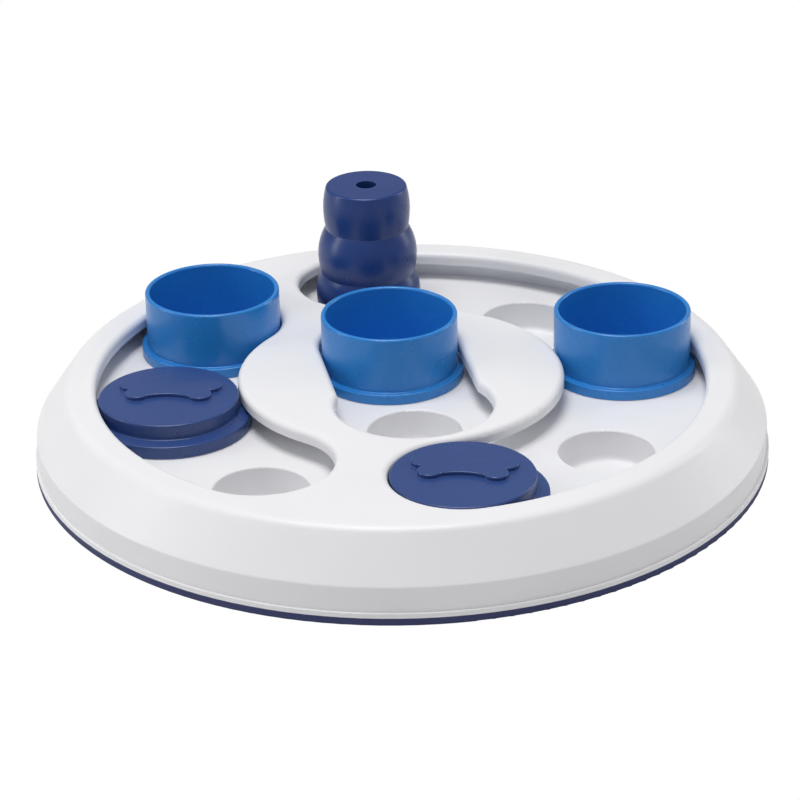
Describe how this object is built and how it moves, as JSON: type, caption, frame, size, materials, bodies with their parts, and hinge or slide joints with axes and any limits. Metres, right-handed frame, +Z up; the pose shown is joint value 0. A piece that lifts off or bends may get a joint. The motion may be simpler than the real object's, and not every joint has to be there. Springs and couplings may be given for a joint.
{
  "type": "dog puzzle feeder toy",
  "caption": "Round free-standing dog puzzle board: cups and bone lids slide in curved tracks over treat wells, with a loose ribbed tower.",
  "frame": {"origin": "centre of the round board's underside, on the floor", "axes": "+Z up, +Y along the straight middle track towards the tower, the viewer's side at -Y"},
  "size_m": [0.3, 0.3, 0.0786],
  "materials": {
    "shell": "fine satin moulded white",
    "tray": "fine satin moulded white",
    "foot": "matt soft non-slip",
    "cup": "satin moulded blue",
    "lid": "satin moulded navy",
    "tower": "smooth soft rubber, slight sheen",
    "screw": "zinc plated"
  },
  "bodies": {
    "board": {"base_ring": "foot", "top_shell": "shell", "tray": "tray", "tray_screws": "screw"},
    "cup_left": {"cup_left": "cup"},
    "cup_centre": {"cup_centre": "cup"},
    "cup_right": {"cup_right": "cup"},
    "lid_left": {"lid_left": "lid"},
    "lid_front": {"lid_front": "lid"},
    "tower": {"tower": "tower"}
  },
  "joints": [
    {"name": "cup_left_track", "type": "hinge", "parent": "board", "child": "cup_left", "pos_m": [0, 0, 0], "axis": [0, 0, 1], "range_deg": [0, 5.2]},
    {"name": "lid_left_track", "type": "hinge", "parent": "board", "child": "lid_left", "pos_m": [0, 0, 0], "axis": [0, 0, 1], "range_deg": [-5.2, 44.1]},
    {"name": "lid_front_track", "type": "hinge", "parent": "board", "child": "lid_front", "pos_m": [0, 0, 0], "axis": [0, 0, 1], "range_deg": [0, 51]},
    {"name": "cup_right_track", "type": "hinge", "parent": "board", "child": "cup_right", "pos_m": [0, 0, 0], "axis": [0, 0, 1], "range_deg": [-51, 49.5]},
    {"name": "cup_centre_slide", "type": "slide", "parent": "board", "child": "cup_centre", "axis": [0, 1, 0], "range_m": [-0.055, 0.004]},
    {"name": "tower_lift", "type": "slide", "parent": "board", "child": "tower", "axis": [0, 0, 1], "range_m": [0, 0.08]}
  ]
}
